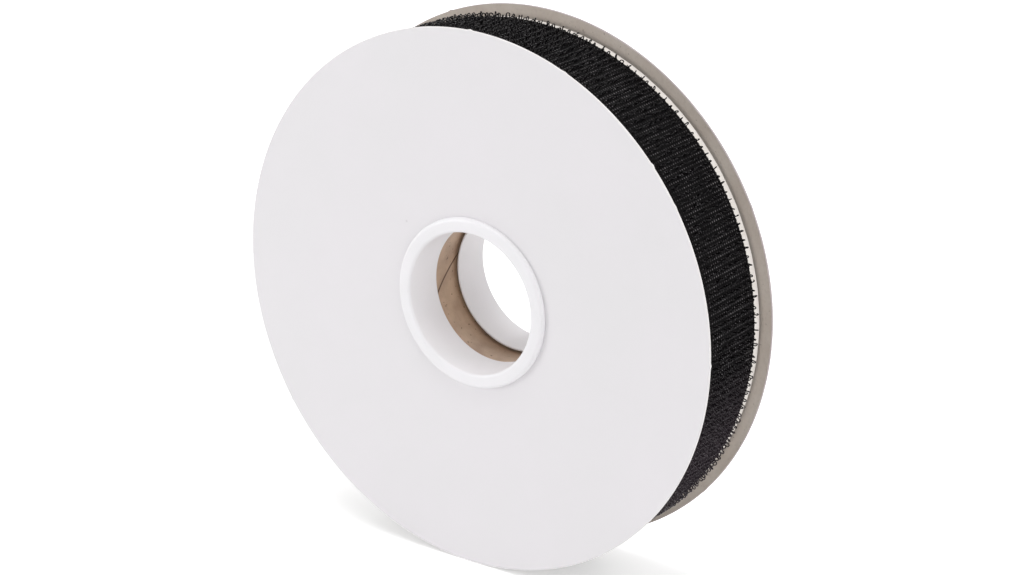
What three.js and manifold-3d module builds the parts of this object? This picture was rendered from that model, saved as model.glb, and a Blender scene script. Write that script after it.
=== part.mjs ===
// A reel of self-adhesive hook tape, standing on the rims of its two discs.
// Two board discs are clamped on the ends of a spiral-wound paper core by a plastic hub pressed in from each side.
// Hook tape, with the release paper that covers its adhesive, is wound round the core between the discs, hooks outwards.
// The axis of the reel runs along Y, with the front disc towards -Y and +Z up, and the origin is the middle of the
// whole reel. Lengths are in millimetres. Angles are counted anticlockwise from +X, as the front disc is seen.

import * as THREE from "three";
import { mergeVertices } from "three/addons/utils/BufferGeometryUtils.js";
import Module from "manifold-3d";

const wasm = await Module();
wasm.setup();

// The gap kept between pieces that seat on or in each other.
const seatClearance = 0.3;

// Discs: die-cut card, with the cut edge of the rim slightly broken. Outside the ring where they are clamped both lean
// forward, at the rim by a share of the hub flange's thickness, and the winding has slid forward with them.
const discDiameter = 137;
const discThickness = 0.6;
const rimBreak = 0.1;
const rimLeanShare = 0.9;

// Core: a tube of paper plies. The innermost ply is a separate strip, and its edges meet along a helical seam.
const coreBore = 38.4;
const coreWall = 2.4;
const liningThickness = 0.4;
const seamWidth = 0.35;
const seamMiddleAngle = 185.4;
const seamSlope = 41.4;

// Hubs: two of the same moulded flanged bush. A sleeve goes through the disc into the core, and its ribs bite the
// paper. The flange is as wide as the core, so that the disc is clamped between the two.
const hubFlangeDiameter = coreBore + 2 * coreWall;
const flangeThickness = 1.5;
const sleeveLength = 9.4;
const sleeveWall = 0.65;
const leadInLength = 0.6;
const flangeEdgeRadius = 0.6;
const mouthRadius = 0.5;
const ribHeight = 0.3;
const ribWidth = 1.2;
const ribCount = 8;

// Tape: a woven base with hooks on its outer face, and wider release paper under the adhesive on its inner face.
const tapeWidth = 20;
const baseThickness = 0.45;
const hookHeight = 1.25;
const hookThread = 0.3;
const selvedgeWidth = 1.3;
const paperWidth = 25;
const paperThickness = 0.12;
const paperPlay = 0.9;
const rimMargin = 0.65;

// The core holds the discs just clear of both edges of the paper.
const coreLength = paperWidth + 2 * paperPlay;

// Winding: how many turns are drawn over the plain inner ones, and where the free end lifts, as shares of a turn.
const drawnTurns = 2;
const stepsPerTurn = 54;
const hingeTurnShare = 1 / 3;
const freeEndTurnShare = 0.12;

// Hooks in a row across the tape. They bend over sideways, the rows to the left and to the right by turns, and each
// row is set half a pitch across from its neighbours.
const hooksInRow = 5;
const hookSides = 3;
const shoulderRiseShare = 0.6;
const crownReachShare = 0.34;
const tipReachShare = 0.72;
const tipRiseShare = 0.52;

// Sides of the round pieces.
const discSides = 96;
const hubSides = 72;
const arcSteps = 2;
const liningColumns = 48;
const liningRows = 5;

const fullTurn = 2 * Math.PI;
const discRadius = discDiameter / 2;
const boreRadius = coreBore / 2;
const coreRadius = boreRadius + coreWall;
const innerFace = coreLength / 2;
const outerFace = innerFace + discThickness;
const rimLean = rimLeanShare * flangeThickness;

// A point of the reel from its angle, its distance from the axis and its place along the axis.
function onReel(angle, radius, along) {
  return new THREE.Vector3(radius * Math.cos(angle), along, radius * Math.sin(angle));
}

// A ring turned about the axis from a closed outline of [radius, place along the axis], with a flat side downwards.
function turned(outline, sides) {
  const points = [...outline, outline[0]].map(([radius, along]) => new THREE.Vector2(radius, along));
  return new THREE.LatheGeometry(points, sides, Math.PI / sides);
}

// A quarter round of an outline, from its start angle to its end angle about a centre.
function quarterRound(centreRadius, centreAlong, radius, start, end) {
  return Array.from({ length: arcSteps + 1 }, (_, i) => {
    const angle = start + ((end - start) * i) / arcSteps;
    return [centreRadius + radius * Math.cos(angle), centreAlong + radius * Math.sin(angle)];
  });
}

// A closed sheet of bent stock. place(column, row, face) gives its points: columns run round the reel, rows along
// its axis, and face is 0 inside and 1 outside.
function bentSheet(columns, rows, place) {
  const points = [];
  const triangles = [];
  const index = (column, row, face) => (column * (rows + 1) + row) * 2 + face;
  const quad = (a, b, c, d) => triangles.push(a, b, c, a, c, d);
  for (let column = 0; column <= columns; column++) {
    for (let row = 0; row <= rows; row++) {
      points.push(place(column, row, 0), place(column, row, 1));
    }
  }
  for (let i = 0; i < columns; i++) {
    for (let j = 0; j < rows; j++) {
      quad(index(i, j, 1), index(i, j + 1, 1), index(i + 1, j + 1, 1), index(i + 1, j, 1));
      quad(index(i, j, 0), index(i + 1, j, 0), index(i + 1, j + 1, 0), index(i, j + 1, 0));
    }
    quad(index(i, 0, 0), index(i, 0, 1), index(i + 1, 0, 1), index(i + 1, 0, 0));
    quad(index(i, rows, 0), index(i + 1, rows, 0), index(i + 1, rows, 1), index(i, rows, 1));
  }
  for (let j = 0; j < rows; j++) {
    quad(index(0, j, 0), index(0, j + 1, 0), index(0, j + 1, 1), index(0, j, 1));
    quad(index(columns, j, 0), index(columns, j, 1), index(columns, j + 1, 1), index(columns, j + 1, 0));
  }
  return new THREE.BufferGeometry().setFromPoints(points).setIndex(triangles);
}

// A closed geometry as a solid that can be joined, and back again.
function toSolid(geometry) {
  const bare = geometry.clone();
  bare.deleteAttribute("normal");
  bare.deleteAttribute("uv");
  const merged = mergeVertices(bare);
  return new wasm.Manifold(
    new wasm.Mesh({
      numProp: 3,
      vertProperties: merged.attributes.position.array,
      triVerts: new Uint32Array(merged.index.array),
    }),
  );
}

function fromSolid(solid) {
  const mesh = solid.getMesh();
  return new THREE.BufferGeometry()
    .setAttribute("position", new THREE.BufferAttribute(mesh.vertProperties, 3))
    .setIndex(new THREE.BufferAttribute(mesh.triVerts, 1));
}

const roll = new THREE.Group();
roll.name = "hook_tape_roll";

function addPiece(name, geometry, color, roughness, along = 0) {
  const flat = geometry.index ? geometry.toNonIndexed() : geometry;
  flat.computeVertexNormals();
  const mesh = new THREE.Mesh(flat, new THREE.MeshStandardMaterial({ color, roughness, metalness: 0 }));
  mesh.name = name;
  mesh.position.y = along;
  roll.add(mesh);
}

const boardWhite = "#e7e5e6";
const kraftBrown = "#968270";
const hubWhite = "#f2f0f1";
const tapeBlack = "#1e1d1e";
const paperCream = "#eee8e2";

// The discs. side is -1 for the front one and 1 for the rear one. Each is flat under its hub's flange.
function disc(side) {
  const outline = [
    [boreRadius, side * innerFace],
    [coreRadius, side * innerFace],
    [discRadius - rimBreak, side * innerFace - rimLean],
    [discRadius, side * (innerFace + rimBreak) - rimLean],
    [discRadius, side * (outerFace - rimBreak) - rimLean],
    [discRadius - rimBreak, side * outerFace - rimLean],
    [coreRadius, side * outerFace],
    [boreRadius, side * outerFace],
  ];
  return turned(side > 0 ? outline : outline.reverse(), discSides);
}

addPiece("front_disc", disc(-1), boardWhite, 0.55);
addPiece("rear_disc", disc(1), boardWhite, 0.55);

// The core's outer plies, and the lining ply whose edges meet along the helical seam.
const pliesInnerRadius = boreRadius + liningThickness + seatClearance;
const outerPlies = turned(
  [
    [pliesInnerRadius, -innerFace],
    [coreRadius, -innerFace],
    [coreRadius, innerFace],
    [pliesInnerRadius, innerFace],
  ],
  hubSides,
);

const seamTurnPerLength = Math.tan(THREE.MathUtils.degToRad(seamSlope)) / boreRadius;
const seamTurn = seamWidth / boreRadius;
const lining = bentSheet(liningColumns, liningRows, (column, row, face) => {
  const along = innerFace * ((2 * row) / liningRows - 1);
  const seam = THREE.MathUtils.degToRad(seamMiddleAngle) - along * seamTurnPerLength;
  const angle = seam + seamTurn / 2 + ((fullTurn - seamTurn) * column) / liningColumns;
  return onReel(angle, boreRadius + face * liningThickness, along);
});

addPiece("core_plies", outerPlies, kraftBrown, 0.9);
addPiece("core_lining", lining, kraftBrown, 0.9);

// A hub. Depth is counted inwards from the face of its flange.
const ribRadius = boreRadius - seatClearance;
const sleeveRadius = ribRadius - ribHeight;
const hubBoreRadius = sleeveRadius - sleeveWall;
const hubFlangeRadius = hubFlangeDiameter / 2;

function hub(side) {
  const face = outerFace + flangeThickness;
  const end = flangeThickness + sleeveLength;
  const outline = [
    ...quarterRound(hubFlangeRadius - flangeEdgeRadius, flangeEdgeRadius, flangeEdgeRadius, 0, -Math.PI / 2),
    ...quarterRound(hubBoreRadius + mouthRadius, mouthRadius, mouthRadius, -Math.PI / 2, -Math.PI),
    [hubBoreRadius, end],
    [sleeveRadius - sleeveWall / 2, end],
    [sleeveRadius, end - leadInLength],
    [sleeveRadius, flangeThickness],
    [hubFlangeRadius, flangeThickness],
  ].map(([radius, depth]) => [radius, side * (face - depth)]);
  const body = turned(side > 0 ? outline : outline.reverse(), hubSides);

  const ribRoot = sleeveRadius - sleeveWall / 2;
  const ribOutline = new THREE.Shape([
    new THREE.Vector2(ribRoot, flangeThickness / 2),
    new THREE.Vector2(ribRadius, flangeThickness / 2),
    new THREE.Vector2(ribRadius, end - leadInLength - ribWidth),
    new THREE.Vector2(ribRoot, end - leadInLength),
  ]);
  const rib = new THREE.ExtrudeGeometry(ribOutline, { depth: ribWidth, bevelEnabled: false });
  rib.translate(0, 0, -ribWidth / 2);
  const inwards = new THREE.Vector3(0, -side, 0);
  const ribs = Array.from({ length: ribCount }, (_, i) => {
    const outwards = onReel((fullTurn * i) / ribCount, 1, 0);
    const across = new THREE.Vector3().crossVectors(outwards, inwards);
    const place = new THREE.Matrix4().makeBasis(outwards, inwards, across).setPosition(0, side * face, 0);
    return toSolid(rib.clone().applyMatrix4(place));
  });
  return fromSolid(wasm.Manifold.union([toSolid(body), ...ribs]));
}

addPiece("front_hub", hub(-1), hubWhite, 0.35);
addPiece("rear_hub", hub(1), hubWhite, 0.35);

// The winding, which stands midway between the two rims. Each turn is the base, the paper under it and the hooks of
// the turn below, with a clearance at both faces of the paper. The hook tips of the free end stand a margin inside
// the rims.
const turnPitch = baseThickness + paperThickness + hookHeight + 2 * seatClearance;
const paperInset = baseThickness + seatClearance;
const stepAngle = fullTurn / stepsPerTurn;
const hingeStep = Math.round(stepsPerTurn * hingeTurnShare);
const endStep = hingeStep + Math.round(stepsPerTurn * freeEndTurnShare);
const startStep = endStep - drawnTurns * stepsPerTurn;
const endRadius = discRadius - rimMargin - hookHeight;

// The radius of the base's outer face at an angle that counts the turns up to the free end.
function baseRadius(angle) {
  return endRadius - (turnPitch * (endStep * stepAngle - angle)) / fullTurn;
}

// A wound strip between two steps, cut back by half the clearance at both ends.
function woundStrip(fromStep, toStep, inset, thickness, width) {
  const columns = toStep - fromStep;
  const angleOf = (column) => {
    const angle = (fromStep + column) * stepAngle;
    const trim = seatClearance / 2 / baseRadius(angle);
    return angle + (column === 0 ? trim : 0) - (column === columns ? trim : 0);
  };
  return bentSheet(columns, 1, (column, row, face) => {
    const angle = angleOf(column);
    const radius = baseRadius(angle) - inset - (1 - face) * thickness;
    return onReel(angle, radius, width * (row - 1 / 2));
  });
}

// A hook: a stem out of the base that bends over at a shoulder and ends in a point. lean is 1 or -1 across the tape.
const sideways = new THREE.Vector3(0, 1, 0);

function hook(root, around, outwards, lean) {
  const at = (reach, rise) =>
    root.clone().addScaledVector(sideways, lean * reach).addScaledVector(outwards, rise);
  const path = [
    at(0, -baseThickness / 2),
    at(0, hookHeight * shoulderRiseShare),
    at(hookHeight * crownReachShare, hookHeight - hookThread / 2),
    at(hookHeight * tipReachShare, hookHeight * tipRiseShare),
  ];
  const courses = path.slice(1).map((point, i) => point.clone().sub(path[i]).normalize());
  const points = [];
  for (let i = 0; i < courses.length; i++) {
    const course = courses[i].clone().add(courses[Math.max(i - 1, 0)]).normalize();
    const across = new THREE.Vector3().crossVectors(around, course);
    for (let corner = 0; corner < hookSides; corner++) {
      const angle = (fullTurn * corner) / hookSides;
      points.push(
        path[i]
          .clone()
          .addScaledVector(across, (hookThread / 2) * Math.cos(angle))
          .addScaledVector(around, (hookThread / 2) * Math.sin(angle)),
      );
    }
  }
  const tip = points.push(path[courses.length]) - 1;
  const triangles = [];
  for (let corner = 2; corner < hookSides; corner++) triangles.push(0, corner, corner - 1);
  for (let i = 0; i < courses.length; i++) {
    for (let corner = 0; corner < hookSides; corner++) {
      const a = hookSides * i + corner;
      const b = hookSides * i + ((corner + 1) % hookSides);
      if (i === courses.length - 1) triangles.push(a, b, tip);
      else triangles.push(a, b, b + hookSides, a, b + hookSides, a + hookSides);
    }
  }
  return new THREE.BufferGeometry().setFromPoints(points).setIndex(triangles);
}

// The rows of hooks between two steps, one row on the middle of each flat of the base.
function hookRows(fromStep, toStep) {
  const hooks = [];
  const hookPitch = (tapeWidth - 2 * selvedgeWidth) / (hooksInRow - 1 / 2);
  for (let step = fromStep; step < toStep; step++) {
    const lean = step % 2 === 0 ? 1 : -1;
    const first = onReel(step * stepAngle, baseRadius(step * stepAngle), 0);
    const next = onReel((step + 1) * stepAngle, baseRadius((step + 1) * stepAngle), 0);
    const around = next.clone().sub(first).normalize();
    const outwards = new THREE.Vector3().crossVectors(sideways, around);
    for (let i = 0; i < hooksInRow; i++) {
      const root = first.clone().lerp(next, 1 / 2);
      root.y = hookPitch * (i - (hooksInRow - 1) / 2 - lean / 4);
      hooks.push(toSolid(hook(root, around, outwards, lean)));
    }
  }
  return hooks;
}

// The least gap between the turns of a wound strip: from points on its inner face to points and middles of flats on
// the outer face of the turn below.
function leastGap(strip) {
  const corners = strip.attributes.position;
  const cornersInColumn = 4;
  const point = (column, corner) =>
    new THREE.Vector3().fromBufferAttribute(corners, cornersInColumn * column + corner);
  const columns = corners.count / cornersInColumn;
  let least = Infinity;
  for (let upper = stepsPerTurn / 2; upper < columns; upper++) {
    for (let lower = 0; lower < upper - stepsPerTurn / 2; lower++) {
      const inner = point(upper, 0);
      const outer = point(lower, 1);
      const flat = outer.clone().lerp(point(lower + 1, 1), 1 / 2);
      least = Math.min(least, inner.distanceTo(outer), inner.distanceTo(flat));
    }
  }
  return least;
}

// The turns below the drawn ones, as one plain body whose outside follows the first drawn turn.
function innerTurns() {
  const outside = [];
  for (let step = startStep; step <= startStep + stepsPerTurn; step++) {
    const radius = baseRadius(step * stepAngle) - paperInset - paperThickness - seatClearance;
    const point = onReel(step * stepAngle, radius, 0);
    outside.push(new THREE.Vector2(point.x, point.z));
  }
  const hole = [];
  for (let step = 0; step < stepsPerTurn; step++) {
    const point = onReel(-step * stepAngle, coreRadius + seatClearance, 0);
    hole.push(new THREE.Vector2(point.x, point.z));
  }
  const outline = new THREE.Shape(outside);
  outline.holes.push(new THREE.Path(hole));
  const body = new THREE.ExtrudeGeometry(outline, { depth: tapeWidth, bevelEnabled: false });
  return body.rotateX(Math.PI / 2).translate(0, tapeWidth / 2, 0);
}

addPiece("inner_turns", innerTurns(), tapeBlack, 0.8, -rimLean);

const fixedTape = woundStrip(startStep, hingeStep, 0, baseThickness, tapeWidth);
const fixedPaper = woundStrip(startStep, hingeStep, paperInset, paperThickness, paperWidth);
const freeTape = woundStrip(hingeStep, endStep, 0, baseThickness, tapeWidth);
const freePaper = woundStrip(hingeStep, endStep, paperInset, paperThickness, paperWidth);
console.log("hook_tape, least gap between turns: " + leastGap(fixedTape).toFixed(2) + " mm");
console.log("release_paper, least gap between turns: " + leastGap(fixedPaper).toFixed(2) + " mm");

const fixedHooks = hookRows(hingeStep - stepsPerTurn, hingeStep);
const freeHooks = hookRows(hingeStep, endStep);
console.log("hooks: " + (fixedHooks.length + freeHooks.length));

const fixedSolid = wasm.Manifold.union([toSolid(fixedTape), ...fixedHooks]);
const freeSolid = wasm.Manifold.union([toSolid(freeTape), ...freeHooks]);
addPiece("hook_tape", fromSolid(fixedSolid), tapeBlack, 0.8, -rimLean);
addPiece("tape_end", fromSolid(freeSolid), tapeBlack, 0.8, -rimLean);
addPiece("release_paper", fixedPaper, paperCream, 0.6, -rimLean);
addPiece("paper_end", freePaper, paperCream, 0.6, -rimLean);

export default roll;
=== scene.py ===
import math

import bpy
import numpy as np
from mathutils import Matrix, Vector


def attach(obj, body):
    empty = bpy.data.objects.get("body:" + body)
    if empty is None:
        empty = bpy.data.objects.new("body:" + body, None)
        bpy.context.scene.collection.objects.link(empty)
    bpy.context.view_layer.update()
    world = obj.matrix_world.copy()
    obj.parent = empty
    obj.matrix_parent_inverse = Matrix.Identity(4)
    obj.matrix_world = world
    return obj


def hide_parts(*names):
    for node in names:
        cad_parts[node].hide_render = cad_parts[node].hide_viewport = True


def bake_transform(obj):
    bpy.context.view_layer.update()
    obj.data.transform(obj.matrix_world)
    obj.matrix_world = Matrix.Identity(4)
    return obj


# A reel of self-adhesive hook tape, standing on the rims of its two board discs. The pieces come in the order
# in which the reel is put together. Sizes are in millimetres, and meshes turn them to metres. Angles are
# counted anticlockwise from +X, as the front disc is seen.
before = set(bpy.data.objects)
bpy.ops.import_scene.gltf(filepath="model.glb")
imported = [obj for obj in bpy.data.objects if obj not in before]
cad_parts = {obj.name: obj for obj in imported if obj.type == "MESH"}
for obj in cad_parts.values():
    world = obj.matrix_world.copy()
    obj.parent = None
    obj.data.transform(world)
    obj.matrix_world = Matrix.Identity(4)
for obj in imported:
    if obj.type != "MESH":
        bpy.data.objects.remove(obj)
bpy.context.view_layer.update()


# Outer plies of the core: a tube wound from strips of kraft board, glued one over the other. Its ends butt on
# the discs and the winding covers its outside, so that it shows only in the open seam of the lining.
bore_radius = 19.2
core_wall = 2.4
core_length = 26.8
lining_thickness = 0.4
seat_clearance = 0.3
core_radius = bore_radius + core_wall
inner_face = core_length / 2
edge_break = 0.1
plies_sides = 180
metres = 0.001


def colour(hex_code):
    """An sRGB hex value as the linear colour, with alpha, that a shader takes."""
    channels = [int(hex_code[i:i + 2], 16) / 255 for i in (1, 3, 5)]
    return [c / 12.92 if c <= 0.04045 else ((c + 0.055) / 1.055) ** 2.4 for c in channels] + [1]


def add_node(material, kind, inputs=None, output=None, ramp=(), **settings):
    """Adds a node with its settings and gives its output. Each input, by name or by number, takes a socket to
    link from, or a value."""
    tree = material.node_tree
    node = tree.nodes.new(kind)
    for name, value in settings.items():
        setattr(node, name, value)
    for stop, (place_on, hex_code) in enumerate(ramp):
        element = node.color_ramp.elements[stop]
        element.position, element.color = place_on, colour(hex_code)
    for name, value in (inputs or {}).items():
        named = [socket for socket in node.inputs if socket.name == name and socket.enabled]
        socket = named[0] if named else node.inputs[name]
        if isinstance(value, bpy.types.NodeSocket):
            tree.links.new(value, socket)
        else:
            socket.default_value = value
    return next(socket for socket in node.outputs if socket.enabled and output in (None, socket.name))


def noise(material, at, size, detail):
    """Soft noise, with patches about as many millimetres across as its size."""
    return add_node(material, "ShaderNodeTexNoise",
                    {"Vector": at, "Scale": 1 / (size * metres), "Detail": detail})


def mixed(material, share, tone, other):
    """The tone with a share of the other in it."""
    return add_node(material, "ShaderNodeMix", {"Factor": share, "A": tone, "B": other}, data_type="RGBA")


def bump(material, height, depth):
    """Relief in the shading only, as many millimetres deep as its depth."""
    return add_node(material, "ShaderNodeBump", {"Height": height, "Distance": depth * metres})


def new_material(name):
    material = bpy.data.materials.new(name)
    material.use_nodes = True
    return material


def finish(material, **surface):
    """Gives the shader's own inputs their values, or links them where the value is a socket."""
    shader = material.node_tree.nodes["Principled BSDF"]
    for name, value in surface.items():
        socket = shader.inputs[name.replace("_", " ")]
        if isinstance(value, bpy.types.NodeSocket):
            material.node_tree.links.new(value, socket)
        else:
            socket.default_value = value


def round_reel(angle, radius, along):
    """Points of the reel, in millimetres, from angle, distance from the axis and place along the axis."""
    return np.stack(np.broadcast_arrays(radius * np.cos(angle), along, radius * np.sin(angle)), axis=-1)


def turned(outline, sides):
    """Stations round the axis of a closed outline of (radius, place along the axis)."""
    angles = (np.arange(sides) + 0.5) * 2 * math.pi / sides
    outline = np.array(outline)
    return round_reel(angles[:, None], outline[None, :, 0], outline[None, :, 1])


def carried(stations, corners, closed):
    """Faces of a section of so many corners carried through so many stations: closed to a ring, or capped."""
    i, j = np.meshgrid(np.arange(stations if closed else stations - 1), np.arange(corners), indexing="ij")
    far, side = (i + 1) % stations, (j + 1) % corners
    quads = [i * corners + j, i * corners + side, far * corners + side, far * corners + j]
    faces = [np.stack(quads, axis=-1).reshape(-1, 4)]
    if not closed:
        section = np.arange(corners)
        faces.append(np.stack([section[::-1], (stations - 1) * corners + section]))
    return faces


def build(name, sections, materials, closed=False, flat=None, face_slots=None, crease=40):
    """A solid from an array of its sections, pieces x stations x corners x 3, in millimetres. flat gives each
    point's place on the strip laid flat, and face_slots(corner) the material of each long face."""
    sections = np.asarray(sections, dtype=float)
    if sections.ndim == 3:
        sections = sections[None]
    pieces, stations, corners = sections.shape[:3]
    points = sections.reshape(-1, 3)
    step = np.arange(pieces)[:, None, None] * stations * corners
    faces = [(part[None] + step).reshape(-1, part.shape[1]) for part in carried(stations, corners, closed)]
    slots = np.zeros(sum(len(part) for part in faces), dtype=np.int32)
    if face_slots:
        lengthwise = np.array([face_slots(corner) for corner in range(corners)])
        slots[:len(faces[0])] = lengthwise[np.arange(len(faces[0])) % corners]
    # A single piece whose sections run the other way round has its faces turned outwards.
    corner_points = points[faces[0]]
    diagonals = corner_points[:, 2] - corner_points[:, 0], corner_points[:, 3] - corner_points[:, 1]
    normal_sums = np.cross(*diagonals)
    if pieces == 1 and np.einsum("ij,ij", corner_points.mean(axis=1) - points.mean(axis=0), normal_sums) < 0:
        faces = [part[:, ::-1] for part in faces]
    mesh = bpy.data.meshes.new(name)
    loops = np.concatenate([part.ravel() for part in faces]).astype(np.int32)
    sizes = np.concatenate([np.full(len(part), part.shape[1]) for part in faces])
    mesh.vertices.add(len(points))
    mesh.vertices.foreach_set("co", (points * metres).astype(np.float32).ravel())
    mesh.loops.add(len(loops))
    mesh.loops.foreach_set("vertex_index", loops)
    mesh.polygons.add(len(sizes))
    mesh.polygons.foreach_set("loop_start", (np.cumsum(sizes) - sizes).astype(np.int32))
    mesh.polygons.foreach_set("material_index", slots)
    if flat is not None:
        strip_places = np.asarray(flat, dtype=np.float32).reshape(-1, 2) * metres
        mesh.uv_layers.new(name="unrolled").data.foreach_set("uv", strip_places[loops].ravel())
    mesh.update(calc_edges=True)
    mesh.validate()
    for material in materials:
        mesh.materials.append(material)
    mesh.shade_smooth()
    mesh.set_sharp_from_angle(angle=math.radians(crease))
    piece = bpy.data.objects.new(name, mesh)
    bpy.context.scene.collection.objects.link(piece)
    return piece


def place(piece, body, slot, node):
    """The piece rides on its body and stands for the solid named. Its slot is not used."""
    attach(piece, body)
    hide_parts(node)


def kraft(name, light, dark, speck, seam_shade=None):
    """Machine-glazed kraft paper, wound wet with glue: mottled brown, with a sheen at flat angles, fibres
    that lie round the tube and dark specks. Fibres and specks are drawn at about twice their real size."""
    mottle_size, fibre_size, speck_size, relief_depth = 5, (2.1, 0.35, 2.1), 0.8, 0.05
    seam_shade_from, seam_shade_to = 0.05, 0.35
    material = new_material(name)
    here = add_node(material, "ShaderNodeTexCoord", output="Object")
    mottle = noise(material, here, mottle_size, 3)
    tone = add_node(material, "ShaderNodeValToRGB", {"Fac": mottle}, ramp=[(0.3, light), (0.7, dark)])
    grain = add_node(material, "ShaderNodeMapping",
                     {"Vector": here, "Scale": [1 / (size * metres) for size in fibre_size]})
    fibres = add_node(material, "ShaderNodeTexNoise", {"Vector": grain, "Scale": 1, "Detail": 4})
    share = add_node(material, "ShaderNodeMapRange",
                     {"Value": fibres, "From Min": 0.45, "From Max": 0.75, "To Max": 0.3})
    tone = mixed(material, share, tone, colour(dark))
    specks = noise(material, here, speck_size, 1)
    share = add_node(material, "ShaderNodeMapRange",
                     {"Value": specks, "From Min": 0.7, "From Max": 0.76, "To Max": 0.9})
    tone = mixed(material, share, tone, colour(speck))
    if seam_shade:
        # Painted shade: the strip darkens towards its edges, beside the open seam.
        # The strip carries its distance from the nearer edge.
        flat = add_node(material, "ShaderNodeUVMap", uv_map="unrolled")
        from_edge = add_node(material, "ShaderNodeSeparateXYZ", {"Vector": flat}, output="X")
        share = add_node(material, "ShaderNodeMapRange", {"Value": from_edge, "From Min": seam_shade_from * metres,
                                                          "From Max": seam_shade_to * metres})
        tone = mixed(material, share, colour(seam_shade), tone)
    relief = bump(material, fibres, relief_depth)
    finish(material, Base_Color=tone, Roughness=0.55, Sheen_Weight=0.45, Sheen_Roughness=0.4, Normal=relief)
    return material


kraft_plies = kraft("kraft_board_tube", "#8e7a68", "#75614f", "#4c3b2e")
plies_inner_radius = bore_radius + lining_thickness + seat_clearance
plies_outline = [
    (plies_inner_radius, -inner_face), (core_radius - edge_break, -inner_face),
    (core_radius, edge_break - inner_face), (core_radius, inner_face - edge_break),
    (core_radius - edge_break, inner_face), (plies_inner_radius, inner_face),
]
core_plies = build("core_plies_wound", turned(plies_outline, plies_sides), [kraft_plies], closed=True)
place(core_plies, "reel", "kraft", "core_plies")


# Lining ply of the core: the innermost kraft strip, wound in a steep helix and glued to the ply over it. Its
# two edges nearly meet, and the open seam between them shows in the bore as a dark line, with painted
# shade on the edges beside it.
seam_width = 0.24
seam_middle_angle = 185.4
seam_slope = 41.4
edge_curl = 0.05
edge_curl_length = 0.8
lining_columns = 300
lining_rows = 40
# The lining's edges carry painted shade beside the seam.
kraft_lining = kraft("kraft_paper_lining", "#c9ac90", "#ac8f76", "#54402d", seam_shade="#6b4f3b")

seam_turn_per_length = math.tan(math.radians(seam_slope)) / bore_radius
seam_turn = seam_width / bore_radius
lining_along = np.linspace(-inner_face, inner_face, lining_rows + 1)
lining_across = np.linspace(0, 1, lining_columns + 1)[:, None]
lining_angle = math.radians(seam_middle_angle) - lining_along * seam_turn_per_length + seam_turn / 2
lining_angle = lining_angle + (2 * math.pi - seam_turn) * lining_across
edge_distance = np.minimum(lining_across, 1 - lining_across) * 2 * math.pi * bore_radius
lining_radius = bore_radius - edge_curl * np.exp(-edge_distance / edge_curl_length)
inner_side = round_reel(lining_angle, lining_radius, lining_along)
outer_side = round_reel(lining_angle, lining_radius + lining_thickness, lining_along)
lining_sections = np.concatenate([inner_side, outer_side[:, ::-1]], axis=1)
one_side_flat = np.stack(np.broadcast_arrays(edge_distance, lining_along), axis=-1)
lining_flat = np.concatenate([one_side_flat, one_side_flat[:, ::-1]], axis=1)
core_lining = build("core_lining_strip", lining_sections, [kraft_lining], flat=lining_flat)
place(core_lining, "reel", "kraft", "core_lining")


# Release paper: a strip of cream kraft coated with silicone, a little wider than the tape on both sides, so
# that its far edge shows past the tape. Tape and paper are wound together on one spiral, with the hooks
# outwards: every turn is as high as base, clearance, paper, clearance and the hooks of the turn below.
nominal_radius = 68.5
disc_radius = 68.46
rim_lean = 1.35
rim_margin = 0.65
tape_width = 20
base_thickness = 0.45
hook_height = 1.25
paper_width = 25
paper_thickness = 0.12
paper_inset = 0.52
paper_cockle = 0.02
paper_bays = 8
turn_pitch = base_thickness + paper_thickness + hook_height + 2 * seat_clearance
hinge_angle = math.radians(120)
end_angle = math.radians(160)
hooked_from = hinge_angle - 2 * math.pi
start_angle = math.radians(-560)
end_radius = nominal_radius - rim_margin - hook_height

# The winding has settled neither quite round nor quite straight. These are its departures from the spiral
# round the reel: outwards, along the axis, and the paper's own ones along the axis under the tape.
settled_at = np.radians([-180, -120, -60, -40, -28, -12, 0, 26, 36, 60, 84, 104, 120, 160])
settled_out = [0.0, 0.3, 0.9, 1.0, 0.74, 0.56, 0.5, 0.18, 0.1, -0.22, -0.4, -0.28, 0.0, 0.0]
settled_along = [0.2, 0.3, 0.3, 0.3, 0.25, 0.18, 0.1, 0.23, 0.28, 0.24, 0.2, 0.3, 0.2, 0.1]
settled_paper = [-0.1, -0.1, 0.0, 0.05, 0.1, 0.19, 0.25, -0.05, -0.12, -0.14, -0.14, -0.1, -0.1, -0.1]
settled_ease = (-0.12, -0.06, 0, 0.06, 0.12)


def settled(angle, departures):
    """The departures at an angle, eased over the corners between the places where they are given."""
    eased = [np.interp(angle + ease, settled_at, departures, period=2 * math.pi) for ease in settled_ease]
    return sum(eased) / len(eased)


def base_radius(angle):
    """The radius of the woven base's outer face at an angle that counts the turns."""
    return end_radius - turn_pitch * (end_angle - angle) / (2 * math.pi) + settled(angle, settled_out)


def base_middle(angle):
    """The place along the axis of the middle of the woven base."""
    return settled(angle, settled_along) - rim_lean


def strip_length(angle):
    """Length along the strips from where the hooked turn starts, as on the outermost turn."""
    return (angle - hooked_from) * end_radius


def wound(angles, section, depth=0.0):
    """Stations of a strip's section, given as (place across, height over the base's outer face), with their
    places on the strip laid flat."""
    section = np.broadcast_to(section, (len(angles),) + np.shape(section)[-2:])
    radius = base_radius(angles)[:, None] - depth + section[..., 1]
    points = round_reel(angles[:, None], radius, base_middle(angles)[:, None] + section[..., 0])
    return points, np.stack(np.broadcast_arrays(strip_length(angles)[:, None], section[..., 0]), axis=-1)


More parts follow.
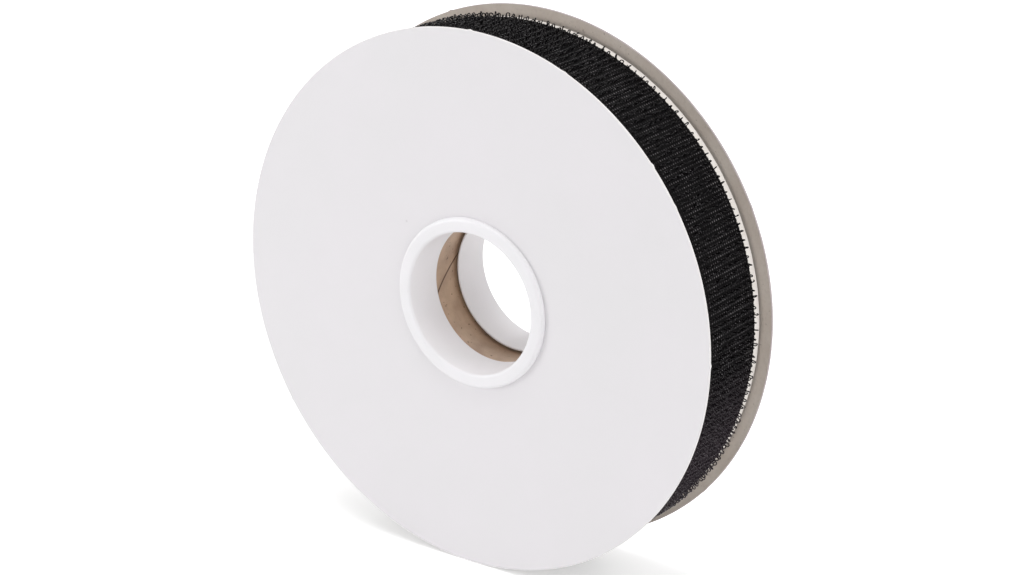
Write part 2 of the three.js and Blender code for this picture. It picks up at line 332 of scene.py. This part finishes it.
def release_paper():
    """Glassy smooth cream paper: a soft shine from the silicone, with faint clouds and short fibres."""
    cloud_size, fibre_size, relief_depth = 2.5, 0.4, 0.03
    material = new_material("silicone_coated_release_paper")
    flat = add_node(material, "ShaderNodeUVMap", uv_map="unrolled")
    cloud = noise(material, flat, cloud_size, 3)
    tone = add_node(material, "ShaderNodeValToRGB", {"Fac": cloud}, ramp=[(0.3, "#f3efeb"), (0.7, "#ebe5df")])
    fibres = noise(material, flat, fibre_size, 3)
    relief = bump(material, fibres, relief_depth)
    finish(material, Base_Color=tone, Roughness=0.42, Specular_IOR_Level=0.4, Normal=relief)
    return material


silicone_paper = release_paper()


def paper_strip(name, start, end, step):
    """A stretch of release paper, with its edges slightly cockled and waved."""
    angles = np.linspace(start, end, max(2, round((end - start) / step)) + 1)
    across = np.linspace(-0.5, 0.5, paper_bays + 1)
    # Two waves along the strip, strongest at its edges.
    cockle = paper_cockle * (np.sin(angles * 41 + 1) + 0.6 * np.sin(angles * 97))
    lift = cockle[:, None] * np.abs(2 * across[None]) ** 6
    places = across[None] * paper_width + settled(angles, settled_paper)[:, None]
    top = np.stack([places, lift], axis=-1)
    below = np.stack([places, lift - paper_thickness], axis=-1)[:, ::-1]
    points, flat = wound(angles, np.concatenate([top, below], axis=1), paper_inset)
    return build(name, points, [silicone_paper], flat=flat)


paper_step = math.radians(0.9)
release = paper_strip("release_paper_strip", start_angle, hinge_angle, paper_step)
place(release, "reel", "release_paper", "release_paper")


# Hook tape: a narrow fabric woven from black nylon, with a weft rib every millimetre and small loops of weft
# along both edges. Its inner face carries a clear, slightly yellow adhesive, which holds the release paper.
weft_pitch = 1.01
weft_height = 0.12
warp_pitch = 0.9
selvedge = 1.2
edge_loop = 0.09
edge_round = 0.35
edge_lift = 0.02
tape_columns = 36
covered_columns = 6
glue_margin = 0.4
glue_thickness = 0.07
# Painted floor light: tape and hooks turn lighter and greyer below the first height, fully below the second.
floor_light_from = -5
floor_light_full = -30


def painted_floor_light(material, tone):
    """The tone made lighter and greyer low down, near the floor: painted light from the floor."""
    here = add_node(material, "ShaderNodeTexCoord", output="Object")
    level = add_node(material, "ShaderNodeSeparateXYZ", {"Vector": here}, output="Z")
    share = add_node(material, "ShaderNodeMapRange",
                     {"Value": level, "From Min": floor_light_full * metres, "From Max": floor_light_from * metres,
                      "To Min": 0.9, "To Max": 0})
    return mixed(material, share, tone, colour("#393237"))


def woven_nylon():
    """Nylon yarn, woven and heat-set: nearly black and dull. A painted highlight, a lighter dot, shows
    where each warp end passes over a weft rib, except in the plain selvedges. The warp ends are drawn at
    twice their real spacing, so that they show."""
    uneven_size, patch_size = 1.2, 5
    material = new_material("woven_black_nylon")
    flat = add_node(material, "ShaderNodeUVMap", uv_map="unrolled")
    # The texture repeats every 2 pi / 20 of its units, and these scales make that one pitch.
    warp = add_node(material, "ShaderNodeTexWave",
                    {"Vector": flat, "Scale": 2 * math.pi / (20 * warp_pitch * metres)},
                    output="Fac", bands_direction="Y")
    weft = add_node(material, "ShaderNodeTexWave",
                    {"Vector": flat, "Scale": 2 * math.pi / (20 * weft_pitch * metres),
                     "Phase Offset": math.pi}, output="Fac", bands_direction="X")
    crossings = add_node(material, "ShaderNodeMath", {0: warp, 1: weft}, operation="MULTIPLY")
    # Painted highlights: the knuckles where warp crosses weft are lighter, unevenly and in patches.
    knuckle_glints = add_node(material, "ShaderNodeMapRange",
                        {"Value": crossings, "From Min": 0.45, "From Max": 0.95})
    uneven = noise(material, flat, uneven_size, 3)
    tone = add_node(material, "ShaderNodeValToRGB", {"Fac": uneven},
                    ramp=[(0.3, "#050405"), (0.7, "#0c0a0b")])
    glint_unevenness = add_node(material, "ShaderNodeMapRange",
                    {"Value": uneven, "From Min": 0.35, "From Max": 0.6, "To Min": 0.2, "To Max": 1})
    share = add_node(material, "ShaderNodeMath", {0: knuckle_glints, 1: glint_unevenness}, operation="MULTIPLY")
    patches = noise(material, flat, patch_size, 1)
    patchy = add_node(material, "ShaderNodeMapRange",
                      {"Value": patches, "From Min": 0.42, "From Max": 0.58, "To Min": 0.3, "To Max": 1})
    share = add_node(material, "ShaderNodeMath", {0: share, 1: patchy}, operation="MULTIPLY")
    place_across = add_node(material, "ShaderNodeSeparateXYZ", {"Vector": flat}, output="Y")
    from_middle = add_node(material, "ShaderNodeMath", {0: place_across}, operation="ABSOLUTE")
    inside = add_node(material, "ShaderNodeMapRange",
                      {"Value": from_middle, "From Min": (tape_width / 2 - selvedge) * metres,
                       "From Max": (tape_width / 2 - selvedge / 2) * metres, "To Min": 1, "To Max": 0.15})
    share = add_node(material, "ShaderNodeMath", {0: share, 1: inside}, operation="MULTIPLY")
    # The painted highlight on the knuckles, in light grey.
    tone = mixed(material, share, tone, colour("#827e80"))
    # Painted light from the floor, low down.
    tone = painted_floor_light(material, tone)
    relief = bump(material, crossings, weft_height)
    finish(material, Base_Color=tone, Roughness=0.65, Specular_IOR_Level=0.06, Normal=relief)
    return material


def adhesive_coat():
    """Pressure-sensitive adhesive over the black base: grey and slightly yellow, glossy, in soft streaks."""
    streak_size, ripple_size, relief_depth = 2.5, 0.8, 0.05
    material = new_material("pressure_sensitive_adhesive")
    flat = add_node(material, "ShaderNodeUVMap", uv_map="unrolled")
    streaks = noise(material, flat, streak_size, 3)
    tone = add_node(material, "ShaderNodeValToRGB", {"Fac": streaks},
                    ramp=[(0.35, "#57504a"), (0.65, "#6b645b")])
    ripple = noise(material, flat, ripple_size, 3)
    relief = bump(material, ripple, relief_depth)
    finish(material, Base_Color=tone, Roughness=0.22, Normal=relief)
    return material


nylon_weave, glue = woven_nylon(), adhesive_coat()


def tape_strip(name, start, end, step, detailed=True):
    """A stretch of the woven base, with its adhesive as a second material on the inner face."""
    angles = np.linspace(start, end, max(2, round((end - start) / step)) + 1)
    weft_wave = np.cos(2 * math.pi * strip_length(angles) / weft_pitch) * detailed
    columns = tape_columns if detailed else covered_columns
    across = np.linspace(-1, 1, columns + 1)
    half = tape_width / 2
    edge = half - edge_loop + edge_loop * weft_wave
    flatness = np.clip((1 - np.abs(across)) * half / edge_round, 0, 1)[None]
    height = weft_height / 2 * (weft_wave[:, None] - 1) * flatness - edge_round / 3 * (1 - flatness) ** 2
    top = np.stack([edge[:, None] * across[None], height], axis=-1)
    glue_half = half - glue_margin
    under = np.array([
        (half - edge_round / 3, edge_lift - base_thickness), (glue_half, -base_thickness),
        (glue_half - edge_break, -base_thickness - glue_thickness),
        (edge_break - glue_half, -base_thickness - glue_thickness),
        (-glue_half, -base_thickness), (edge_round / 3 - half, edge_lift - base_thickness),
    ])
    under = np.broadcast_to(under, (len(angles),) + under.shape)
    points, flat = wound(angles, np.concatenate([top, under], axis=1))
    # The coat's three long faces come after the weave's top and its edge.
    first_glue = columns + 2
    return build(name, points, [nylon_weave, glue], flat=flat, crease=60,
                 face_slots=lambda corner: int(first_glue <= corner <= first_glue + 2))


weft_step = weft_pitch / 4 / end_radius
covered_step = math.radians(1)
covered_tape = tape_strip("hook_tape_covered_turn", start_angle, hooked_from, covered_step, detailed=False)
outer_tape = tape_strip("hook_tape_base", hooked_from, hinge_angle, weft_step)
place(covered_tape, "reel", "hook_nylon", "hook_tape")
place(outer_tape, "reel", "hook_nylon", "hook_tape")


# Inner turns: sixteen more turns of the same tape and paper down to the core, of which only the edges could
# be seen. They are drawn as the two bare strips, with the space that their hooks fill left open.
inner_turn_count = 16
inner_step = math.radians(5)
inner_from = start_angle - inner_turn_count * 2 * math.pi
inner_tape = tape_strip("inner_turns_tape", inner_from, start_angle, inner_step, detailed=False)
inner_paper = paper_strip("inner_turns_paper", inner_from, start_angle, inner_step)
place(inner_tape, "reel", "hook_nylon", "inner_turns")
place(inner_paper, "reel", "release_paper", "inner_turns")


# Hooks: loops of stiff nylon monofilament, woven into the base over bars that lie along the tape, so that
# they stand across it. Heat sets them, and each is cut through on one side, which leaves a hook and a short
# stub. Alternate rows are set half a pitch across and bend to the other side, and no two hooks stand alike.
row_pitch = 2.02
hook_pitch = 1.247
hooks_in_wide_row = 16
hook_drawn_height = 1.35
thread_radius = 0.14
curl_radius = 0.43
curl_points = 9
thread_sides = 6
row_scatter, place_scatter = 0.13, 0.07
twist_lean, twist_scatter = 4, 20
tilt_lean, tilt_scatter, pressed_tilt = -6, 10, 6
hook_sizes = (0.84, 1.0)
tip_turns = (-75, 5)
stub_offset = 0.14
stem_leans = (stub_offset, 0.08, 0.02)
stem_heights = (-0.1, 0.28, 0.6)
stub_heights = (0.3, 0.6)
stub_sunk, stub_lean = 0.05, 0.1
stub_share = 0.8
hook_sectors = 5
hook_seed = 11


def monofilament():
    """Black nylon thread, extruded and drawn: smooth, with a narrow highlight along each bend. It is drawn
    0.28 mm thick in place of 0.2 mm, so that it shows."""
    uneven_size, drawing_size, relief_depth = 1.1, 0.2, 0.01
    material = new_material("black_nylon_monofilament")
    here = add_node(material, "ShaderNodeTexCoord", output="Object")
    uneven = noise(material, here, uneven_size, 2)
    tone = add_node(material, "ShaderNodeValToRGB", {"Fac": uneven},
                    ramp=[(0.35, "#080708"), (0.65, "#171417")])
    # Painted light from the floor, low down, as on the woven base.
    tone = painted_floor_light(material, tone)
    drawn = noise(material, here, drawing_size, 2)
    relief = bump(material, drawn, relief_depth)
    finish(material, Base_Color=tone, Roughness=0.22, Specular_IOR_Level=0.12, Normal=relief)
    return material


nylon_thread = monofilament()


def threads(paths, side):
    """Sections of thread along flat paths, threads x points x 3, where side gives each path's normal."""
    course = np.gradient(paths, axis=1)
    course /= np.linalg.norm(course, axis=2, keepdims=True)
    side = np.broadcast_to(side[:, None], course.shape)
    across = np.cross(side, course)
    turn = (np.arange(thread_sides) * 2 * math.pi / thread_sides)[:, None]
    rim = across[:, :, None] * np.cos(turn) + side[:, :, None] * np.sin(turn)
    return paths[:, :, None] + thread_radius * rim


def hook_field(name, start, end, seed):
    """The hooks and stubs of every row whose middle lies between two angles, in one piece."""
    rng = np.random.default_rng(seed)
    row_angle = row_pitch / end_radius
    rows = np.arange(math.ceil((start - hooked_from) / row_angle - 0.5),
                     math.ceil((end - hooked_from) / row_angle - 0.5))
    counts = np.where(rows % 2 == 0, hooks_in_wide_row, hooks_in_wide_row - 1)
    number = counts.sum()
    place_in_row = np.concatenate([np.arange(count) - (count - 1) / 2 for count in counts])
    angle = np.repeat(hooked_from + (rows + 0.5) * row_angle, counts)
    angle = angle + rng.normal(0, row_scatter, number) / end_radius
    along = place_in_row * hook_pitch + rng.normal(0, place_scatter, number)
    bends_to = np.repeat(np.where(rows % 2 == 0, 1, -1), counts)[:, None]

    outwards = round_reel(angle, 1.0, 0.0)
    around = round_reel(angle + math.pi / 2, 1.0, 0.0)
    sideways = np.broadcast_to([0.0, 1.0, 0.0], around.shape)
    # Neighbouring hooks lean together where the roll has been pressed.
    pressed = np.sin(angle * 23 + along * 0.4) * np.sin(angle * 7 - along * 0.7)
    twist = np.radians(rng.normal(twist_lean, twist_scatter, number))[:, None]
    tilt = np.radians(rng.normal(tilt_lean, tilt_scatter, number) + pressed_tilt * pressed)[:, None]
    forwards = bends_to * np.cos(twist) * sideways + np.sin(twist) * around
    upwards = np.cos(tilt) * outwards + np.sin(tilt) * around
    normal = np.cross(forwards, upwards)
    normal /= np.linalg.norm(normal, axis=1, keepdims=True)
    root = round_reel(angle, base_radius(angle) - weft_height, base_middle(angle) + along)

    def in_plane(reach, rise):
        return root[:, None] + reach[..., None] * forwards[:, None] + rise[..., None] * upwards[:, None]

    size = rng.uniform(*hook_sizes, number)[:, None]
    tip_turn = rng.uniform(*tip_turns, number)[:, None]
    curl = np.radians(180 + (tip_turn - 180) * np.linspace(0, 1, curl_points)[None])
    middle_height = hook_drawn_height + weft_height - thread_radius - curl_radius
    # The stem leans in from its root, and the curl carries on over from its top.
    stem_reach = np.tile(stem_leans, (number, 1)) - curl_radius
    stem_rise = np.tile(stem_heights, (number, 1))
    reach = np.concatenate([stem_reach, curl_radius * np.cos(curl)], axis=1)
    rise = np.concatenate([stem_rise, middle_height + curl_radius * np.sin(curl)], axis=1)
    hooks = threads(in_plane(reach, size * rise), normal)

    way_up = np.linspace(0, 1, hooks.shape[1])[None]
    stub_rise = way_up * rng.uniform(*stub_heights, number)[:, None] - stub_sunk
    stub_reach = np.broadcast_to(curl_radius - stub_offset + stub_lean * way_up, stub_rise.shape)
    stubs = threads(in_plane(stub_reach, stub_rise), normal)[rng.random(number) < stub_share]
    return build(name, np.concatenate([hooks, stubs]), [nylon_thread], crease=70)


for sector in range(hook_sectors):
    edges = hooked_from + 2 * math.pi * np.array([sector, sector + 1]) / hook_sectors
    hooks = hook_field(f"hooks_sector_{sector + 1}", edges[0], edges[1], hook_seed + sector)
    place(hooks, "reel", "hook_nylon", "hook_tape")


# Free ends: the last 46 mm of the tape with its hooks and adhesive, and of the paper under it, both cut
# square.
bend_length = 7
tape_end = tape_strip("tape_free_end", hinge_angle, end_angle, weft_step)
end_hooks = hook_field("hooks_free_end", hinge_angle, end_angle, hook_seed + hook_sectors)
paper_end = paper_strip("release_paper_free_end", hinge_angle, end_angle, paper_step)
free_ends = [
    (tape_end, "tape_end", "hook_nylon", 0), (end_hooks, "tape_end", "hook_nylon", 0),
    (paper_end, "paper_end", "release_paper", base_thickness + seat_clearance),
]
# The body and the solid of each free end share a name.
for piece, body, slot, depth in free_ends:
    hinge = round_reel(hinge_angle, base_radius(hinge_angle) - depth, -rim_lean)
    off = bend_length * round_reel(hinge_angle + math.pi / 2, 1.0, 0.0)
    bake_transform(piece)
    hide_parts(body)


# Discs: die-cut from white-lined board 0.6 mm thick, coated white outside and bare grey-brown inside. Clamped
# between core and hub, both lean forward towards their rims. Where the waste was torn off the die's holding
# nicks, the rims have small burrs.
disc_thickness = 0.6
outer_face = inner_face + disc_thickness
disc_sides = 480
disc_stations = 16
clamped_margin = 1
rim_break = 0.12
rim_land = 0.18
disc_warp = 0.07
front_warp_turn, rear_warp_turn = 0.8, 3.1
rear_disc_play = [0.2, 0, -0.15]
burr_height = 0.28
burr_half_width = 0.6
front_burrs = np.radians([89.7, 66.6, 40.9, 31.6, -0.2, 214, 262, 305])
rear_burrs = np.radians([25.5, 112, 171, 236, 318])


def coated_board():
    """White board with a calendered clay coat: smooth, with a soft shine, a very faint cloudiness and a small
    grey scuff."""
    cloud_size, grain_size, relief_depth = 30, 0.6, 0.01
    scuff_at, scuff_inside, scuff_outside = (-19.7, -14.5, 17.0), 0.25, 0.55
    material = new_material("clay_coated_white_board")
    here = add_node(material, "ShaderNodeTexCoord", output="Object")
    cloud = noise(material, here, cloud_size, 2)
    tone = add_node(material, "ShaderNodeValToRGB", {"Fac": cloud}, ramp=[(0.3, "#e7e4e7"), (0.7, "#e5e3e5")])
    from_scuff = add_node(material, "ShaderNodeVectorMath",
                          {0: here, 1: [place * metres for place in scuff_at]},
                          output="Value", operation="DISTANCE")
    share = add_node(material, "ShaderNodeMapRange",
                     {"Value": from_scuff, "From Min": scuff_inside * metres,
                      "From Max": scuff_outside * metres, "To Min": 0.35, "To Max": 0})
    tone = mixed(material, share, tone, colour("#8d8889"))
    grain = noise(material, here, grain_size, 3)
    relief = bump(material, grain, relief_depth)
    finish(material, Base_Color=tone, Roughness=0.45, Specular_IOR_Level=0.4, Normal=relief)
    return material


def bare_board():
    """The board's uncoated back, made of mixed waste paper: matt grey-tan with faint fibres and a few dark
    flecks. The fibres are drawn at about twice their real size, so that they show."""
    cloud_size, fibre_size, fleck_size, relief_depth = 7, 0.7, 0.9, 0.03
    material = new_material("bare_grey_board")
    here = add_node(material, "ShaderNodeTexCoord", output="Object")
    cloud = noise(material, here, cloud_size, 3)
    tone = add_node(material, "ShaderNodeValToRGB", {"Fac": cloud}, ramp=[(0.3, "#cbc2b9"), (0.7, "#c1b6ac")])
    fibres = noise(material, here, fibre_size, 4)
    share = add_node(material, "ShaderNodeMapRange",
                     {"Value": fibres, "From Min": 0.5, "From Max": 0.8, "To Max": 0.3})
    tone = mixed(material, share, tone, colour("#a1968b"))
    flecks = noise(material, here, fleck_size, 1)
    share = add_node(material, "ShaderNodeMapRange",
                     {"Value": flecks, "From Min": 0.74, "From Max": 0.8, "To Max": 0.6})
    tone = mixed(material, share, tone, colour("#6d6259"))
    relief = bump(material, fibres, relief_depth)
    finish(material, Base_Color=tone, Roughness=0.9, Normal=relief)
    return material


def cut_board(name, light, dark):
    """The board's die-cut edge: thin layers of pressed fibres, a little rough. The front disc's edge is
    painted near white, a painted highlight along its rim, and the rear disc's edge shows the grey layers
    open."""
    layer_size, relief_depth = (3, 0.15, 3), 0.02
    material = new_material(name)
    here = add_node(material, "ShaderNodeTexCoord", output="Object")
    grain = add_node(material, "ShaderNodeMapping",
                     {"Vector": here, "Scale": [1 / (size * metres) for size in layer_size]})
    layers = add_node(material, "ShaderNodeTexNoise", {"Vector": grain, "Scale": 1, "Detail": 2})
    tone = add_node(material, "ShaderNodeValToRGB", {"Fac": layers}, ramp=[(0.35, light), (0.65, dark)])
    relief = bump(material, layers, relief_depth)
    finish(material, Base_Color=tone, Roughness=0.9, Normal=relief)
    return material


white_coat, grey_back = coated_board(), bare_board()
# The front disc's edge is painted near white, a painted highlight along its rim.
painted_highlight_edge = cut_board("die_cut_edge_painted_highlight", "#f4f2f2", "#e9e5e4")
open_edge = cut_board("die_cut_open_edge", "#c2b8b9", "#b0a5a6")


def disc(name, side, node, edge, burrs, warp_turn, play=(0, 0, 0)):
    """A disc in place: side is -1 in front and 1 behind, and play is how far it sits off its hub's middle."""
    angles = ((np.arange(disc_sides) + 0.5) * 2 * math.pi / disc_sides)[:, None]
    outer_radii = np.linspace(core_radius + clamped_margin, disc_radius - rim_break, disc_stations)
    radii = np.append([bore_radius, core_radius], outer_radii)
    outer = np.stack([radii, np.full(len(radii), side * outer_face)], axis=-1)
    inner = np.stack([radii, np.full(len(radii), side * inner_face)], axis=-1)[::-1]
    rim_middle = side * (inner_face + disc_thickness / 2)
    rim = [(disc_radius, rim_middle + side * rim_land * step) for step in (1, 0, -1)]
    outline = np.concatenate([outer, rim, inner])
    share = np.clip((outline[:, 0] - core_radius) / (disc_radius - core_radius), 0, 1)[None]
    waves = np.sin(2 * angles + warp_turn) + 0.6 * np.sin(3 * angles + 2 * warp_turn)
    warp = disc_warp * share ** 2 * waves
    radius = np.repeat(outline[None, :, 0], disc_sides, axis=0)
    for burr in burrs:
        apart = np.abs((angles - burr + math.pi) % (2 * math.pi) - math.pi) * disc_radius
        radius += burr_height * np.clip(1 - apart / burr_half_width, 0, 1) * (share > 0.99)
    points = round_reel(angles, radius, outline[None, :, 1] - rim_lean * share + warp) + play
    outer_count, corners = len(radii), len(outline)

    # The coat is on the outer face, the bare back inside, and the cut edge at the rim and round the hole.
    def face_slots(corner):
        if corner < outer_count - 1:
            return 0
        return 2 if corner < outer_count + 3 or corner == corners - 1 else 1

    piece = build(name, points, [white_coat, grey_back, edge], closed=True, face_slots=face_slots, crease=30)
    place(piece, "reel", "board", node)


disc("front_disc_board", -1, "front_disc", painted_highlight_edge, front_burrs, front_warp_turn)
disc("rear_disc_board", 1, "rear_disc", open_edge, rear_burrs, rear_warp_turn, rear_disc_play)


# Hubs: two of the same flanged bush, injection-moulded in white polypropylene. The sleeve is pressed through
# the disc into the core, where eight ribs bite the kraft lining, and the flange holds the disc on the core.
flange_radius = core_radius
flange_thickness = 1.5
flange_edge_radius = 1.0
mouth_radius = 0.8
sleeve_length = 9.4
sleeve_wall = 0.65
lead_in_length = 0.6
rib_height = 0.3
rib_width = 1.2
rib_count = 8
rib_flank = 0.15
rib_run_out = 1
hub_sides = 288
edge_points = 9
sleeve_radius = bore_radius - seat_clearance - rib_height
hub_bore_radius = sleeve_radius - sleeve_wall


def white_polypropylene():
    """Polypropylene from a polished mould: milky white, softly glossy, with the faint ripple of shrinkage."""
    cloud_size, ripple_size, relief_depth = 8, 2.5, 0.01
    material = new_material("moulded_white_polypropylene")
    here = add_node(material, "ShaderNodeTexCoord", output="Object")
    cloud = noise(material, here, cloud_size, 3)
    tone = add_node(material, "ShaderNodeValToRGB", {"Fac": cloud}, ramp=[(0.3, "#f0eef1"), (0.7, "#edecee")])
    ripple = noise(material, here, ripple_size, 1)
    relief = bump(material, ripple, relief_depth)
    finish(material, Base_Color=tone, Roughness=0.36, IOR=1.49, Normal=relief)
    return material


polypropylene = white_polypropylene()


def quarter_round(radius_at, depth_at, size, start, end):
    """A rounded edge of the hub's outline, as (radius, depth) from a middle and a size."""
    turn = np.radians(np.linspace(start, end, edge_points))
    return list(zip(radius_at + size * np.cos(turn), depth_at + size * np.sin(turn)))


def hub(name, side, node):
    """A hub in place, from an outline of (radius, depth below its face). side is as for the discs."""
    length = flange_thickness + sleeve_length
    outline = np.array([
        *quarter_round(flange_radius - flange_edge_radius, flange_edge_radius, flange_edge_radius, 0, -90),
        *quarter_round(hub_bore_radius + mouth_radius, mouth_radius, mouth_radius, -90, -180),
        (hub_bore_radius, length - edge_break), (hub_bore_radius + edge_break, length),
        (sleeve_radius - rib_height, length), (sleeve_radius, length - lead_in_length),
        (sleeve_radius, length - lead_in_length - rib_run_out), (sleeve_radius, flange_thickness),
        (flange_radius - rib_flank, flange_thickness), (flange_radius, flange_thickness - rib_flank),
    ])
    angles = np.arange(hub_sides) * 2 * math.pi / hub_sides
    apart = (angles * rib_count / (2 * math.pi) + 0.5) % 1 - 0.5
    from_rib = np.abs(apart) * 2 * math.pi / rib_count * sleeve_radius
    rib = rib_height * np.clip((rib_width / 2 - from_rib) / rib_flank + 0.5, 0, 1)
    on_sleeve = (np.abs(outline[:, 0] - sleeve_radius) < 0.01) & (outline[:, 1] < length - rib_run_out)
    radius = outline[None, :, 0] + rib[:, None] * on_sleeve[None]
    points = round_reel(angles[:, None], radius, side * (outer_face + flange_thickness - outline[None, :, 1]))
    piece = build(name, points, [polypropylene], closed=True, crease=35)
    place(piece, "reel", "hub_plastic", node)


hub("front_hub_moulding", -1, "front_hub")
hub("rear_hub_moulding", 1, "rear_hub")


# Floor: a plain white sheet that runs out of sight. To the camera and in reflections it glows a little, so
# that it is as white as the background and still takes the reel's shadow.
floor_height = -68.62
floor_size = 12
floor_glow = 0.45
bpy.ops.mesh.primitive_plane_add(size=floor_size, location=(0, 0, floor_height * metres))
floor = bpy.context.object
floor.name = "floor"
white_sheet = new_material("white_paper_sheet")
rays = add_node(white_sheet, "ShaderNodeLightPath").node.outputs
seen = add_node(white_sheet, "ShaderNodeMath", {0: rays["Is Camera Ray"], 1: rays["Is Glossy Ray"]},
                operation="MAXIMUM")
glow = add_node(white_sheet, "ShaderNodeMapRange", {"Value": seen, "To Max": floor_glow})
finish(white_sheet, Base_Color=colour("#f4f4f4"), Roughness=0.9, Specular_IOR_Level=0.1,
       Emission_Color=colour("#ffffff"), Emission_Strength=glow)
floor.data.materials.append(white_sheet)


# Background: plain white to the camera, in reflections and through clear things, and elsewhere a weaker even
# light that fills the shadows.
fill_strength = 0.46
world = bpy.data.worlds.new("studio")
world.use_nodes = True
bpy.context.scene.world = world
rays = add_node(world, "ShaderNodeLightPath").node.outputs
seen = add_node(world, "ShaderNodeMath", {0: rays["Is Camera Ray"], 1: rays["Is Glossy Ray"]},
                operation="MAXIMUM")
seen = add_node(world, "ShaderNodeMath", {0: seen, 1: rays["Is Transmission Ray"]}, operation="MAXIMUM")
strength = add_node(world, "ShaderNodeMapRange", {"Value": seen, "To Min": fill_strength, "To Max": 1})
background = world.node_tree.nodes["Background"]
background.inputs["Color"].default_value = colour("#ffffff")
world.node_tree.links.new(strength, background.inputs["Strength"])


# Lamps: large soft boxes at the left in front, overhead, at the right and behind, all turned to the reel.
# They are weak enough for the white card to stay below full white.
def soft_box(name, place_at, size, watts):
    """A square lamp. Its place and size are in metres."""
    lamp = bpy.data.lights.new(name, "AREA")
    lamp.shape, lamp.size, lamp.energy = "SQUARE", size, watts
    lamp_object = bpy.data.objects.new(name, lamp)
    lamp_object.location = place_at
    lamp_object.rotation_euler = (-Vector(place_at)).to_track_quat("-Z", "Y").to_euler()
    bpy.context.scene.collection.objects.link(lamp_object)


soft_box("left_box", (-0.8, -0.75, 0.3), 0.5, 3.8)
soft_box("top_box", (-0.1, -0.15, 1.2), 0.8, 6)
soft_box("right_box", (0.85, -0.12, 0.15), 1.0, 4.4)
soft_box("back_box", (-0.1, 1.1, 0.3), 0.6, 5)


# Camera: a pinhole fitted to the rims of both discs and to the hubs, as the photograph shows them. The width
# of the sensor only sets what the lens's length is measured against.
image_width = 1024
sensor_width = 36
focal_pixels = 2956.17
camera_at = Vector((0.39811, -0.55380, 0.25090))
azimuth, elevation = math.radians(35.590), math.radians(20.216)
forwards = Vector((-math.sin(azimuth) * math.cos(elevation), math.cos(azimuth) * math.cos(elevation),
                   -math.sin(elevation)))
to_right = Vector((math.cos(azimuth), math.sin(azimuth), 0))
camera_data = bpy.data.cameras.new("camera")
camera_data.sensor_width = sensor_width
camera_data.lens = focal_pixels / image_width * sensor_width
camera = bpy.data.objects.new("camera", camera_data)
turn = Matrix((to_right, to_right.cross(forwards), -forwards)).transposed()
camera.matrix_world = Matrix.Translation(camera_at) @ turn.to_4x4()
bpy.context.scene.collection.objects.link(camera)
bpy.context.scene.camera = camera
bpy.context.scene.view_settings.view_transform = "Standard"
